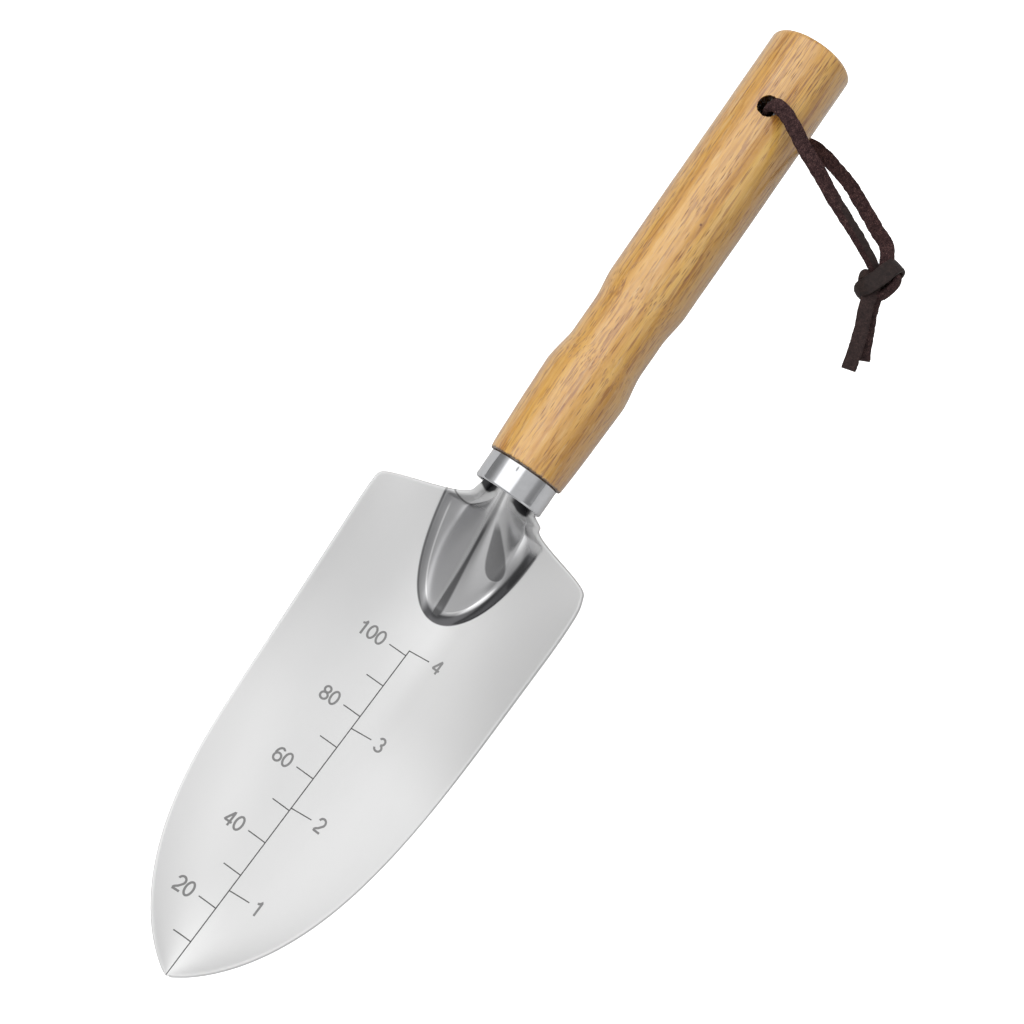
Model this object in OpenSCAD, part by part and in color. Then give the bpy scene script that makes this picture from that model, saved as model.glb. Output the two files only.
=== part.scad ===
// Hand trowel: a one-piece stamped blade with a cranked neck and a tang, a
// short ferrule, a turned wooden handle and a leather hanging thong.
// Origin: centre of the flat butt of the handle. +X runs along the handle to
// the blade tip, +Z is the hollow (upper) side of the blade.

/* [Handle] */
// Length of the wooden handle, butt to shoulder
handle_len = 133.1; // [125:0.1:145]
// Radius of the handle at the butt
butt_r = 11.75; // [11.2:0.05:12.6]
// Radius of the thumb waist
waist_r = 10.7; // [10.3:0.05:11]
// Radius of the bulge between waist and shoulder
bulge_r = 12.0; // [11.6:0.05:12.8]
// Radius of the wood at the shoulder
shoulder_r = 10.8; // [10.5:0.05:11.2]
// Distance of the hanging hole from the butt
hole_x = 21.55; // [18:0.05:26]
// Diameter of the hanging hole
hole_d = 5.8; // [5.2:0.1:7]

/* [Ferrule] */
// Length of the ferrule
ferrule_len = 8.1; // [7.3:0.1:9.8]
// Outside diameter of the ferrule
ferrule_od = 20; // [19.6:0.1:20.8]
// Wall thickness of the ferrule
ferrule_wall = 0.8; // [0.6:0.1:0.8]
// Distance from the start of the neck back to the face of the wooden spigot
mouth_depth = 3; // [2.6:0.1:3.4]

/* [Blade] */
// Length from the ferrule mouth to the blade tip
blade_reach = 148; // [140:0.5:156]
// Thickness of the sheet
sheet_t = 1.2; // [1:0.1:1.5]
// Half of the blade width where its outline straightens
blade_hw = 29.27; // [27:0.01:31]
// Slope of the blade against the handle, in degrees
blade_slope = 12.38; // [10:0.01:14]
// Height of the tip above the handle axis
tip_z = 9.27; // [7:0.01:11]
// Rise of the heel that leads the blade into the neck
heel_lift = 24; // [22:0.5:25]

/* [Neck] */
// Distance from the ferrule mouth to the point of the pressed hollow
hollow_len = 38.9; // [37:0.1:41]
// Half width of the pressed hollow
hollow_hw = 15.3; // [14.5:0.1:16]
// Depth of the two valleys below the blade surface
valley_depth = 3.1; // [2.6:0.1:3.4]
// Height of the middle rib where it enters the ferrule
rib_z = 7.2; // [6.5:0.1:7.4]

/* [Tang] */
// Half width of the folded tang in the handle bore
tang_hw = 4.6; // [4.2:0.1:4.7]
// Length of the tang behind the ferrule mouth
tang_len = 66; // [60:1:68]
// Diameter of the bore for the tang
bore_d = 12.4; // [12.2:0.1:12.8]

/* [Thong] */
// Width of the leather lace
lace_w = 3.7; // [3.2:0.1:4]
// Thickness of the leather lace
lace_t = 1.5; // [1.3:0.1:1.6]

/* [Hidden] */
rim_x = handle_len + ferrule_len;     // front rim of the ferrule
mouth_x = rim_x - 0.8;                // start of the neck, just inside the rim
spigot_r = ferrule_od / 2 - ferrule_wall - 0.01;
bore_end = mouth_x - tang_len - 3;
chev_k = 1.25;      // slope of the folded tang's flanks
chev_z = 3.4;       // height of the tang's crest above the handle axis
crest_r = 1.0;      // rounding of the tang's crest

// ---- small helpers -------------------------------------------------------
function clamp01(x) = min(1, max(0, x));
function ss(x) = let (c = clamp01(x)) c * c * (3 - 2 * c);
function mix(a, b, t) = a + (b - a) * t;
function smin(a, b, k) = (a + b - sqrt((a - b) * (a - b) + k * k)) / 2;
function smax(a, b, k) = (a + b + sqrt((a - b) * (a - b) + k * k)) / 2;
function sabs(y, r) = sqrt(y * y + r * r) - r;
function unit(v) = v / norm(v);
function bez(p, t) = let (u = 1 - t)
    u*u*u*p[0] + 3*u*u*t*p[1] + 3*u*t*t*p[2] + t*t*t*p[3];

// ---- blade surface -------------------------------------------------------
// b is the distance in front of the ferrule mouth, s the length from the tip
function from_tip(b) = max(0.02, (blade_reach - b) / cos(blade_slope));
// half width of the leaf-shaped outline, tip to heel
function leaf_hw(b) = let (s = from_tip(b))
    blade_hw * pow(1 - pow(max(0, 1 - s / 157.8), 6.13), 0.874) + 0.0239 * s;
// rear edge: runs in from the corners and sweeps into the neck
// the two shoulders differ a little: s is the side, +1 or -1
function rear_hw(b, s) = s > 0
    ? 8.7 + 3.2 * ss((b - 0.8) / 2.4) + 20.5 * ss((b - 3.6) / 7.6) + 0.12 * max(0, b - 10)
    : 7.2 + 0.42 * b + 20 * ss((b - 4) / 11.5);
function side_hw(b, s) = leaf_hw(b) + (s > 0 ? 0.5 * exp(-pow((b - 20) / 16, 2)) : 0);
// folded tang behind the mouth, pointed at its end
function tang_w(b, s) = b > -3 ? mix(tang_hw, s > 0 ? 8.7 : 7.2, ss((b + 3) / 3))
    : b > 8 - tang_len ? tang_hw
    : mix(1.5, tang_hw, (b + tang_len) / 8);
function half_w(b, s) = b <= 0 ? tang_w(b, s)
    : smin(rear_hw(b, s), side_hw(b, s), b < 0.01 ? 0 : (s > 0 ? 1.2 + 2.2 * exp(-pow((b - 10) / 3, 2)) : 2.3) * ss(b / 8));

// centre line of the sheet without the pressed hollow
function mid_z(b) = tip_z - tan(blade_slope) * (blade_reach - b)
    + heel_lift * pow(max(0, 47 - b) / 47, 2);
// rise of the long edges above the straight centre line
function edge_rise(b) = let (s = from_tip(b))
    4.9 * (1 - exp(-s / 7)) + 13.8 * pow(max(0, s - 62) / 68, 1.7);
function dish(b, y) = let (lift = heel_lift * pow(max(0, 47 - b) / 47, 2))
    (edge_rise(b) - lift) * pow(y / max(1, leaf_hw(b)), 2);
function sheet_z(b, y) = mid_z(b) + dish(b, y);
// pressed hollow: two valleys beside a middle rib
function hollow_w(b, s) = let (f = clamp01(b / hollow_len))
    smin(hollow_hw * sqrt(max(0.0001, 1 - pow(f, 2.3))), half_w(b, s) - 1.4, 1);
function valley(b) = let (f = clamp01(b / hollow_len))
    valley_depth * pow(1 - pow(f, 2.2), 0.8) * mix(1.9, 1, ss(b / 13));
function rib(b) = let (f = clamp01(b / hollow_len))
    mix(-14.1, rib_z, pow(1 - f, 1.4));
function rib_k(b) = 0.6 + 2.2 * exp(-max(0, b) / 9);
function neck_z(b, y) = let (
    q = abs(y) / max(0.3, hollow_w(b, y)),
    wall = smax(0, 1 - pow(q, 5), 0.04),
    floor_z = sheet_z(b, y) - valley(b) * wall,
    rib_y = rib(b) - rib_k(b) * sabs(y, 1.9))
    b >= hollow_len ? sheet_z(b, y)
    : mix(sheet_z(b, y), smax(floor_z, rib_y, 1.8), ss((hollow_len - b) / 4));
function tang_z(y) = chev_z - chev_k * sabs(y, crest_r);
function blade_z(b, y) = b <= -3 ? tang_z(y)
    : b < 0 ? mix(tang_z(y), neck_z(b, y), ss((b + 3) / 3)) : neck_z(b, y);
function bp(b, t) = let (y = t * half_w(b, t)) [mouth_x + b, y, blade_z(b, y)];
function bn(b, t) = let (e = 0.05,
    d1 = bp(min(b + e, blade_reach - 0.1), t) - bp(b - e, t),
    d2 = bp(b, t + 0.004) - bp(b, t - 0.004)) unit(cross(d1, d2));

stations = concat(
    [for (i = [0 : 2]) -tang_len + 8 * i / 3],
    [for (i = [0 : 4]) 8 - tang_len + (tang_len - 11) * i / 5],
    [for (i = [0 : 4]) -3 + 3 * i / 5],
    [for (i = [0 : 21]) 15 * i / 22],
    [for (i = [0 : 15]) 15 + 25 * i / 16],
    [for (i = [0 : 15]) 40 + (blade_reach - 58) * i / 16],
    [for (i = [0 : 11]) blade_reach - 18 + 17.9 * (1 - pow(1 - i / 11, 1.6))]);
cols = [for (j = [-13 : 13]) sign(j) * pow(abs(j) / 13, 1.6)];

module blade() {
    nb = len(stations);
    nc = len(cols);
    mid = [for (b = stations) [for (t = cols) bp(b, t)]];
    nrm = [for (b = stations) [for (t = cols) bn(b, t)]];
    top = [for (i = [0 : nb - 1]) for (j = [0 : nc - 1]) mid[i][j] + nrm[i][j] * sheet_t / 2];
    bot = [for (i = [0 : nb - 1]) for (j = [0 : nc - 1]) mid[i][j] - nrm[i][j] * sheet_t / 2];
    o = nb * nc;
    faces = concat(
        [for (i = [0 : nb - 2]) for (j = [0 : nc - 2]) let (a = i*nc + j) each
            [[a, a + 1, a + nc + 1], [a, a + nc + 1, a + nc]]],
        [for (i = [0 : nb - 2]) for (j = [0 : nc - 2]) let (a = o + i*nc + j) each
            [[a, a + nc + 1, a + 1], [a, a + nc, a + nc + 1]]],
        [for (i = [0 : nb - 2]) let (a = i*nc) each
            [[a, a + nc, o + a + nc], [a, o + a + nc, o + a]]],
        [for (i = [0 : nb - 2]) let (a = i*nc + nc - 1) each
            [[a, o + a + nc, a + nc], [a, o + a, o + a + nc]]],
        [for (j = [0 : nc - 2]) let (a = j) each
            [[a, o + a, o + a + 1], [a, o + a + 1, a + 1]]],
        [for (j = [0 : nc - 2]) let (a = (nb - 1)*nc + j) each
            [[a, o + a + 1, o + a], [a, a + 1, o + a + 1]]]);
    color("gainsboro") polyhedron(points = concat(top, bot), faces = faces, convexity = 6);
}

// ---- ferrule -------------------------------------------------------------
// short tube pressed on the wooden spigot, its front rim slightly rounded
module ferrule() {
    ro = ferrule_od / 2;
    ri = ro - ferrule_wall;
    rr = 0.35;
    color("silver") translate([rim_x, 0, 0]) rotate([0, -90, 0])
        rotate_extrude($fn = 96) polygon(concat(
            [[ri, ferrule_len], [ri, rr]],
            [for (a = [0 : 30 : 90]) [ri + rr - rr * cos(a), rr - rr * sin(a)]],
            [for (a = [90 : -30 : 0]) [ro - rr + rr * cos(a), rr - rr * sin(a)]],
            [[ro, ferrule_len]]));
}

// ---- handle --------------------------------------------------------------
// turned profile: straight grip, thumb waist, bulge, taper to the shoulder
function turned_r(x) = let (d = handle_len - x)
    d > 57 ? mix(butt_r - 0.08, butt_r, ss((d - 57) / 30))
    : d > 47 ? mix(waist_r, butt_r - 0.08, ss((d - 47) / 10))
    : d > 38 ? waist_r
    : d > 27 ? mix(bulge_r, waist_r, ss((d - 27) / 11))
    : shoulder_r + (bulge_r - shoulder_r) * pow(d / 27, 0.62);
module handle() {
    er = 1.4;
    profile = concat(
        [for (a = [90 : -18 : 18]) [butt_r - er + er * cos(a), er - er * sin(a)]],
        [for (x = [er : 8 : handle_len - 60]) [turned_r(x), x]],
        [for (x = [handle_len - 58 : 1.6 : handle_len - 1]) [turned_r(x), x]],
        [[shoulder_r - 0.05, handle_len - 0.35], [shoulder_r - 0.4, handle_len]]);
    color("burlywood") difference() {
        union() {
            rotate([0, 90, 0]) rotate_extrude($fn = 96)
                polygon(concat([[0, 0]], profile, [[0, handle_len]]));
            translate([handle_len - 1, 0, 0]) rotate([0, 90, 0])
                cylinder(r = spigot_r, h = 1 + mouth_x - handle_len - mouth_depth, $fn = 96);
        }
        translate([hole_x, 0, -20]) cylinder(d = hole_d, h = 40, $fn = 48);
        translate([bore_end, 0, 0]) rotate([0, 90, 0])
            cylinder(d = bore_d, h = handle_len, $fn = 64);
    }
}

// ---- adhesive ------------------------------------------------------------
// cured plug between the bore and the tang; its slot clears the tang by a hair
module tang_adhesive() {
    g = sheet_t / 2 + 0.09;
    n = 10;
    ys = [for (j = [-n : n]) (tang_hw + 0.55) * j / n];
    function fz(y) = tang_z(y);
    function fn(y) = unit([chev_k * y / sqrt(y * y + crest_r * crest_r), 1]);
    color("khaki") difference() {
        translate([bore_end + 0.02, 0, 0]) rotate([0, 90, 0])
            cylinder(d = bore_d - 0.02, h = mouth_x - mouth_depth - 0.3 - bore_end - 0.02, $fn = 64);
        // rotated so that the outline's first axis is Y and its second is Z
        translate([mouth_x - tang_len - 0.3, 0, 0]) multmatrix([[0, 0, 1, 0], [1, 0, 0, 0], [0, 1, 0, 0], [0, 0, 0, 1]])
            linear_extrude(tang_len + 5) polygon(concat(
                [for (y = ys) [y, fz(y)] + g * fn(y)],
                [for (j = [2 * n : -1 : 0]) [ys[j], fz(ys[j])] - g * fn(ys[j])]));
    }
}

// ---- thong ---------------------------------------------------------------
// A flat lace swept along a path; wd gives the width direction at each point.
module lace(path, wd, w, t) {
    n = len(path);
    c = 0.3;
    sec = [[-w/2, -t/2 + c], [-w/2 + c, -t/2], [w/2 - c, -t/2], [w/2, -t/2 + c],
           [w/2, t/2 - c], [w/2 - c, t/2], [-w/2 + c, t/2], [-w/2, t/2 - c]];
    m = len(sec);
    tan_v = [for (i = [0 : n - 1]) unit(path[min(i + 1, n - 1)] - path[max(i - 1, 0)])];
    side = [for (i = [0 : n - 1]) unit(wd[i] - (wd[i] * tan_v[i]) * tan_v[i])];
    up = [for (i = [0 : n - 1]) cross(tan_v[i], side[i])];
    pts = [for (i = [0 : n - 1]) for (k = [0 : m - 1]) path[i] + side[i] * sec[k][0] + up[i] * sec[k][1]];
    faces = concat(
        [for (i = [0 : n - 2]) for (k = [0 : m - 1]) let (a = i*m + k, b = i*m + (k + 1) % m) each
            [[a, b + m, b], [a, a + m, b + m]]],
        [for (k = [1 : m - 2]) [0, k, k + 1]],
        [for (k = [1 : m - 2]) let (e = (n - 1) * m) [e, e + k + 1, e + k]]);
    polyhedron(points = pts, faces = faces, convexity = 6);
}

lace_z = butt_r + 1.45;          // height of the strands where they cross the handle
turn_r = 2.2;                    // bend of the lace at each mouth of the hole
dir_f = unit([0.23, 0.97, 0]);   // front strand leaves the hole this way
dir_b = unit([-0.5, 0.87, 0]);   // rear strand leaves the hole this way
hole_c = [hole_x, 0, 0];
knot_c = [41.4, 48, 0];

function turn(dir, sgn, a) = hole_c + dir * turn_r * (1 - cos(a))
    + [0, 0, sgn * (lace_z - turn_r + turn_r * sin(a))];
front_bez = [hole_c + dir_f * turn_r + [0, 0, lace_z], [25.5, 17, lace_z + 1.6], [32, 27, 12.5], [38.0, 42.8, 2.8]];
back_bez = [hole_c + dir_b * turn_r - [0, 0, lace_z], [12.5, 16, -lace_z - 1.6], [16.5, 31, -12.5], [35.4, 46.0, -2.8]];

module thong_loop() {
    k = 20;
    path = concat(
        [for (i = [k : -1 : 1]) bez(back_bez, i / k)],
        [for (a = [90 : -22.5 : 22.5]) turn(dir_b, -1, a)],
        [for (i = [0 : 4]) hole_c + [0, 0, (lace_z - turn_r) * (i / 2 - 1)]],
        [for (a = [22.5 : 22.5 : 90]) turn(dir_f, 1, a)],
        [for (i = [1 : k]) bez(front_bez, i / k)]);
    wd = [for (i = [0 : len(path) - 1])
        i < k + 4 ? cross([0, 0, 1], i < k ? unit([path[max(i-1,0)][0] - path[i+1][0], path[max(i-1,0)][1] - path[i+1][1], 0]) : dir_b)
        : i <= k + 8 ? cross([0, 0, 1], unit(mix(dir_b, dir_f, (i - k - 4) / 4)))
        : i < k + 13 ? cross([0, 0, 1], dir_f)
        : cross([0, 0, 1], unit([path[min(i+1,len(path)-1)][0] - path[i-1][0], path[min(i+1,len(path)-1)][1] - path[i-1][1], 0]))];
    color("#3a2a26") lace(path, wd, lace_w, lace_t);
}
module thong_knot() {
    color("#33241f") translate(knot_c) rotate([0, 0, 15]) scale([6.1, 6.3, 4.4]) sphere(r = 1, $fn = 26);
}
module tail(p0, p1, bow, z) {
    n = 10;
    d = unit(p1 - p0);
    s = cross([0, 0, 1], d);
    path = [for (i = [0 : n]) mix(p0, p1, i / n) + s * bow * sin(180 * i / n) + [0, 0, z]];
    color("#33241f") lace(path, [for (i = [0 : n]) s], lace_w, lace_t);
}
module thong_long_tail() tail([48.9, 50.2, 0], [65.6, 54.2, 0], -0.3, 1.15);
module thong_short_tail() tail([48.9, 51.4, 0], [61.0, 56.4, 0], 0.2, -1.15);

blade();
ferrule();
handle();
tang_adhesive();
thong_loop();
thong_knot();
thong_long_tail();
thong_short_tail();
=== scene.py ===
import bpy, bmesh, math
import numpy as np
from mathutils import Matrix, Vector


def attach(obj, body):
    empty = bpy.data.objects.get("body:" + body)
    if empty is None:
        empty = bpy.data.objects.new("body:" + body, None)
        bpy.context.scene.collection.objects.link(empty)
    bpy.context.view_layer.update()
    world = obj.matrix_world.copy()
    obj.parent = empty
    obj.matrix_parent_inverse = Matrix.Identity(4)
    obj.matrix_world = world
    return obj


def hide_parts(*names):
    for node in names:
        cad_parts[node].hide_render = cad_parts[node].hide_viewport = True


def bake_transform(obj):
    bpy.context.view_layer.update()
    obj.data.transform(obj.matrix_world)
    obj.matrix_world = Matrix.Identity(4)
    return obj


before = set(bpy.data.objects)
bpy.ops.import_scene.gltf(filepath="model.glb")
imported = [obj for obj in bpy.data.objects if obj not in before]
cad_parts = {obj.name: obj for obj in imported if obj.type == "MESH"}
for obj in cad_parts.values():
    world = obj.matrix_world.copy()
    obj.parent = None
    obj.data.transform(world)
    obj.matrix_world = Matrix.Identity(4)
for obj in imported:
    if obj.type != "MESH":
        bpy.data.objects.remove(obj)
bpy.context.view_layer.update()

MM = 0.001
rng = np.random.default_rng(7)
scene = bpy.context.scene

# ------------------------------------------------------------------ helpers
def new_mesh_object(name, verts, faces, smooth=True):
    me = bpy.data.meshes.new(name)
    me.from_pydata([tuple(v) for v in verts], [], [tuple(f) for f in faces])
    me.update()
    if smooth:
        me.polygons.foreach_set("use_smooth", [True] * len(me.polygons))
    ob = bpy.data.objects.new(name, me)
    scene.collection.objects.link(ob)
    return ob

def set_material(ob, mat):
    ob.data.materials.clear()
    ob.data.materials.append(mat)

def sharpen(ob, degrees):
    me = ob.data
    bm = bmesh.new(); bm.from_mesh(me)
    lim = math.radians(degrees)
    for e in bm.edges:
        if len(e.link_faces) == 2:
            e.smooth = e.calc_face_angle(0) < lim
    bm.to_mesh(me); bm.free()

def fix_normals(ob):
    bm = bmesh.new(); bm.from_mesh(ob.data)
    bmesh.ops.recalc_face_normals(bm, faces=bm.faces)
    bm.to_mesh(ob.data); bm.free()

def smin(a, b, k): return (a + b - np.sqrt((a - b) ** 2 + k * k)) / 2
def smax(a, b, k): return (a + b + np.sqrt((a - b) ** 2 + k * k)) / 2
def ss(x):
    c = np.clip(x, 0, 1)
    return c * c * (3 - 2 * c)
def mix(a, b, t): return a + (b - a) * t

# value noise on points, smooth, deterministic
def hash3(i, j, k, seed):
    h = (i.astype(np.int64) * 374761393 + j.astype(np.int64) * 668265263 + k.astype(np.int64) * 2147483647 + seed * 974634777) & 0xFFFFFFFF
    h = ((h ^ (h >> 13)) * 1274126177) & 0xFFFFFFFF
    h = (h ^ (h >> 16)) & 0xFFFFFFFF
    return h / 0xFFFFFFFF
def noise3(p, seed=0):
    p = np.asarray(p, float)
    f = np.floor(p); r = p - f; r = r * r * (3 - 2 * r)
    i, j, k = f[..., 0], f[..., 1], f[..., 2]
    out = 0
    for di in (0, 1):
        for dj in (0, 1):
            for dk in (0, 1):
                w = (r[..., 0] if di else 1 - r[..., 0]) * (r[..., 1] if dj else 1 - r[..., 1]) * (r[..., 2] if dk else 1 - r[..., 2])
                out = out + w * hash3(i + di, j + dj, k + dk, seed)
    return out * 2 - 1

# ------------------------------------------------------------------ node helpers
class Mat:
    def __init__(self, name):
        self.m = bpy.data.materials.new(name)
        self.m.use_nodes = True
        self.t = self.m.node_tree
        self.t.nodes.clear()
        self.out = self.t.nodes.new("ShaderNodeOutputMaterial")
        self.b = self.t.nodes.new("ShaderNodeBsdfPrincipled")
        self.t.links.new(self.b.outputs[0], self.out.inputs[0])
    def n(self, kind, **kw):
        nd = self.t.nodes.new(kind)
        for k, v in kw.items():
            setattr(nd, k, v)
        return nd
    def link(self, a, b): self.t.links.new(a, b)
    def set(self, name, value):
        self.b.inputs[name].default_value = value
    def coords(self, scale=(1, 1, 1), loc=(0, 0, 0), rot=(0, 0, 0)):
        tc = self.n("ShaderNodeTexCoord")
        mp = self.n("ShaderNodeMapping")
        mp.inputs["Scale"].default_value = scale
        mp.inputs["Location"].default_value = loc
        mp.inputs["Rotation"].default_value = rot
        self.link(tc.outputs["Object"], mp.inputs["Vector"])
        return mp.outputs["Vector"]
    def noise(self, vec, scale, detail=3.0, rough=0.5, dist=0.0):
        nd = self.n("ShaderNodeTexNoise")
        nd.inputs["Scale"].default_value = scale
        nd.inputs["Detail"].default_value = detail
        nd.inputs["Roughness"].default_value = rough
        nd.inputs["Distortion"].default_value = dist
        self.link(vec, nd.inputs["Vector"])
        return nd.outputs["Fac"]
    def ramp(self, fac, stops, interp="LINEAR"):
        nd = self.n("ShaderNodeValToRGB")
        cr = nd.color_ramp
        cr.interpolation = interp
        while len(cr.elements) < len(stops):
            cr.elements.new(0.5)
        for e, (p, c) in zip(cr.elements, stops):
            e.position = p
            e.color = c if len(c) == 4 else (*c, 1)
        self.link(fac, nd.inputs[0])
        return nd.outputs["Color"]
    def math(self, op, a, b=None, c=None, clamp=False):
        nd = self.n("ShaderNodeMath", operation=op, use_clamp=clamp)
        for i, v in enumerate((a, b, c)):
            if v is None: continue
            if isinstance(v, (int, float)): nd.inputs[i].default_value = v
            else: self.link(v, nd.inputs[i])
        return nd.outputs[0]
    def mixc(self, fac, a, b, blend="MIX"):
        nd = self.n("ShaderNodeMix", data_type="RGBA", blend_type=blend)
        for sock, v in ((nd.inputs[0], fac), (nd.inputs[6], a), (nd.inputs[7], b)):
            if isinstance(v, (int, float)): sock.default_value = v
            elif isinstance(v, tuple): sock.default_value = (*v[:3], 1)
            else: self.link(v, sock)
        return nd.outputs[2]
    def bump(self, height, strength, distance, normal=None):
        nd = self.n("ShaderNodeBump")
        nd.inputs["Strength"].default_value = strength
        nd.inputs["Distance"].default_value = distance
        self.link(height, nd.inputs["Height"])
        if normal is not None: self.link(normal, nd.inputs["Normal"])
        return nd.outputs["Normal"]

def lin(r, g, b):
    f = lambda c: (c / 255 / 12.92) if c / 255 <= 0.04045 else ((c / 255 + 0.055) / 1.055) ** 2.4
    return (f(r), f(g), f(b))

# ------------------------------------------------------------------ materials
def steel_material(name):
    m = Mat(name)
    at = m.n("ShaderNodeAttribute", attribute_name="polish")
    m.link(m.math("MULTIPLY_ADD", at.outputs["Fac"], 0.67, 0.33), m.b.inputs["Metallic"])
    streak = m.noise(m.coords((18, 700, 400)), 1.0, 4, 0.6)
    fine = m.noise(m.coords((120, 5200, 3000)), 1.0, 2, 0.5)
    blotch = m.noise(m.coords((40, 60, 60)), 1.0, 3, 0.5)
    cloud = m.noise(m.coords((14, 26, 26), (0.4, 0.2, 0)), 1.0, 2, 0.5)
    satin = m.mixc(blotch, lin(*STEEL_LO), lin(*STEEL_HI))
    satin = m.mixc(m.math("MULTIPLY", cloud, 0.35), satin, lin(214, 215, 216), "MIX")
    bright = m.mixc(blotch, lin(*POL_LO), lin(*POL_HI))
    # painted reflections, painted shade and painted highlights on the steel, laid out in object coordinates over the
    # leaf and the pressed hollow of the neck
    tc = m.n("ShaderNodeTexCoord"); sp = m.n("ShaderNodeSeparateXYZ"); m.link(tc.outputs["Object"], sp.inputs[0])
    b_ = m.math("MULTIPLY_ADD", sp.outputs[0], 1000.0, -140.4)
    y_ = m.math("MULTIPLY", sp.outputs[1], 1000.0)
    ay = m.math("ABSOLUTE", y_)
    def step(v, a, b2):
        nd = m.n("ShaderNodeMapRange", interpolation_type="SMOOTHSTEP")
        m.link(v, nd.inputs[0]); lo, hi = min(a, b2), max(a, b2)
        nd.inputs[1].default_value = lo; nd.inputs[2].default_value = hi
        nd.inputs[3].default_value = 0.0 if a < b2 else 1.0; nd.inputs[4].default_value = 1.0 if a < b2 else 0.0
        return nd.outputs[0]
    mul = lambda *v: (v[0] if len(v) == 1 else m.math("MULTIPLY", v[0], mul(*v[1:])))
    # painted light and shade on the satin: lighter towards the left edge and the tip, darker along the middle and over
    # the right shoulder
    el = m.math("SUBTRACT", y_, m.math("MULTIPLY", m.math("MAXIMUM", m.math("SUBTRACT", b_, 70.0), 0.0), 0.33))
    pale = step(el, -13.0, -28.0)
    satin = m.mixc(m.math("MULTIPLY", pale, 0.60), satin, lin(240, 240, 240))
    mid = mul(step(ay, 16.0, 3.0), step(b_, 44.0, 60.0), step(b_, 138.0, 120.0))
    shoul = mul(step(b_, 84.0, 58.0), step(y_, 2.0, 9.0))
    satin = m.mixc(m.math("MULTIPLY", shoul, 0.85), satin, lin(206, 206, 206))
    satin = m.mixc(m.math("MULTIPLY", mid, 0.30), satin, lin(206, 206, 206))
    base = m.mixc(at.outputs["Fac"], satin, bright)
    f_ = m.math("POWER", m.math("MAXIMUM", m.math("DIVIDE", b_, 38.9), 0.0), 2.3)
    g = m.math("SQRT", m.math("ADD", m.math("POWER", m.math("DIVIDE", ay, 15.3), 2.0), f_))
    # distance in mm inwards from the edge of the pressed hollow
    gs = m.math("MAXIMUM", g, 0.05)
    gy = m.math("DIVIDE", m.math("MULTIPLY", ay, 1 / 234.1), gs)
    gb = m.math("DIVIDE", m.math("MULTIPLY", m.math("POWER", m.math("MAXIMUM", m.math("DIVIDE", b_, 38.9), 0.0), 1.3), 0.02956), gs)
    dd = m.math("DIVIDE", m.math("SUBTRACT", 1.0, g), m.math("MAXIMUM", m.math("SQRT", m.math("ADD", m.math("MULTIPLY", gy, gy), m.math("MULTIPLY", gb, gb))), 0.004))
    right = step(y_, -2.0, 1.0)
    inside = step(dd, -0.25, 0.15)
    # painted reflection: a dark band down the right wall of the hollow, and a dark patch at its apex
    band_ = mul(step(dd, 3.3, 2.3), inside, right, step(b_, 8.0, 10.5))
    apex_ = mul(step(dd, 3.0, 1.7), inside, step(b_, 30.5, 34.5), step(y_, -6.5, -2.5))
    band_ = m.math("MAXIMUM", band_, apex_)
    # painted highlights: thin light lines inside the hollow, on the left and on the right of the rib
    light = mul(step(m.math("ABSOLUTE", m.math("SUBTRACT", dd, 2.3)), 0.34, 0.10), step(y_, -2.0, -4.0), step(b_, 9.0, 12.0), step(b_, 36.0, 33.5))
    light = m.math("MAXIMUM", light, mul(step(m.math("ABSOLUTE", m.math("SUBTRACT", dd, 3.55)), 0.34, 0.08), step(y_, 1.0, 3.0), step(b_, 21.0, 25.0)))
    # painted shade: a thin dark line along the left edge of the hollow
    linel = mul(step(dd, 0.62, 0.30), step(dd, -0.25, 0.0), step(y_, 1.0, -2.0), step(b_, 6.0, 9.0))
    # painted reflection: the left lobe of the hollow is made darker grey (below) and rougher
    left_ = mul(inside, step(y_, -0.6, -2.2), step(b_, 6.5, 9.0))
    # painted shade: a dark line along the crest of the rib, wider towards the apex
    wcr = m.math("MULTIPLY_ADD", step(b_, 16.0, 37.0), 0.75, 0.25)
    crest = mul(step(m.math("SUBTRACT", ay, wcr), 0.55, -0.15), step(b_, 6.0, 13.0), step(g, 1.01, 0.96))
    # painted shadow: dark in the valleys just inside the ferrule mouth
    gap = mul(step(m.math("SUBTRACT", b_, m.math("MULTIPLY", step(m.math("ABSOLUTE", m.math("SUBTRACT", ay, 5.2)), 2.6, 0.4), 0.9)), 2.1, 1.4), step(ay, 1.8, 3.2), step(ay, 8.4, 7.2))
    # painted reflection: a dark teardrop between the rib and the right wall of the hollow
    lob_u = m.math("ADD", m.math("MULTIPLY", m.math("SUBTRACT", b_, 6.5), 0.902), m.math("MULTIPLY", m.math("SUBTRACT", y_, 1.4), 0.432))
    lob_v = m.math("ABSOLUTE", m.math("SUBTRACT", m.math("MULTIPLY", m.math("SUBTRACT", y_, 1.4), 0.902), m.math("MULTIPLY", m.math("SUBTRACT", b_, 6.5), 0.432)))
    lob_t = m.math("DIVIDE", lob_u, 15.9, clamp=True)
    lob_w = m.math("MULTIPLY", m.math("MULTIPLY", m.math("POWER", lob_t, 1.0), 3.9), m.math("SQRT", m.math("SUBTRACT", 1.001, m.math("POWER", lob_t, 5.0))))
    lobe = mul(step(m.math("SUBTRACT", lob_v, lob_w), 0.30, -0.30), step(lob_u, 0.5, 4.0), step(lob_u, 15.95, 15.7))
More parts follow.
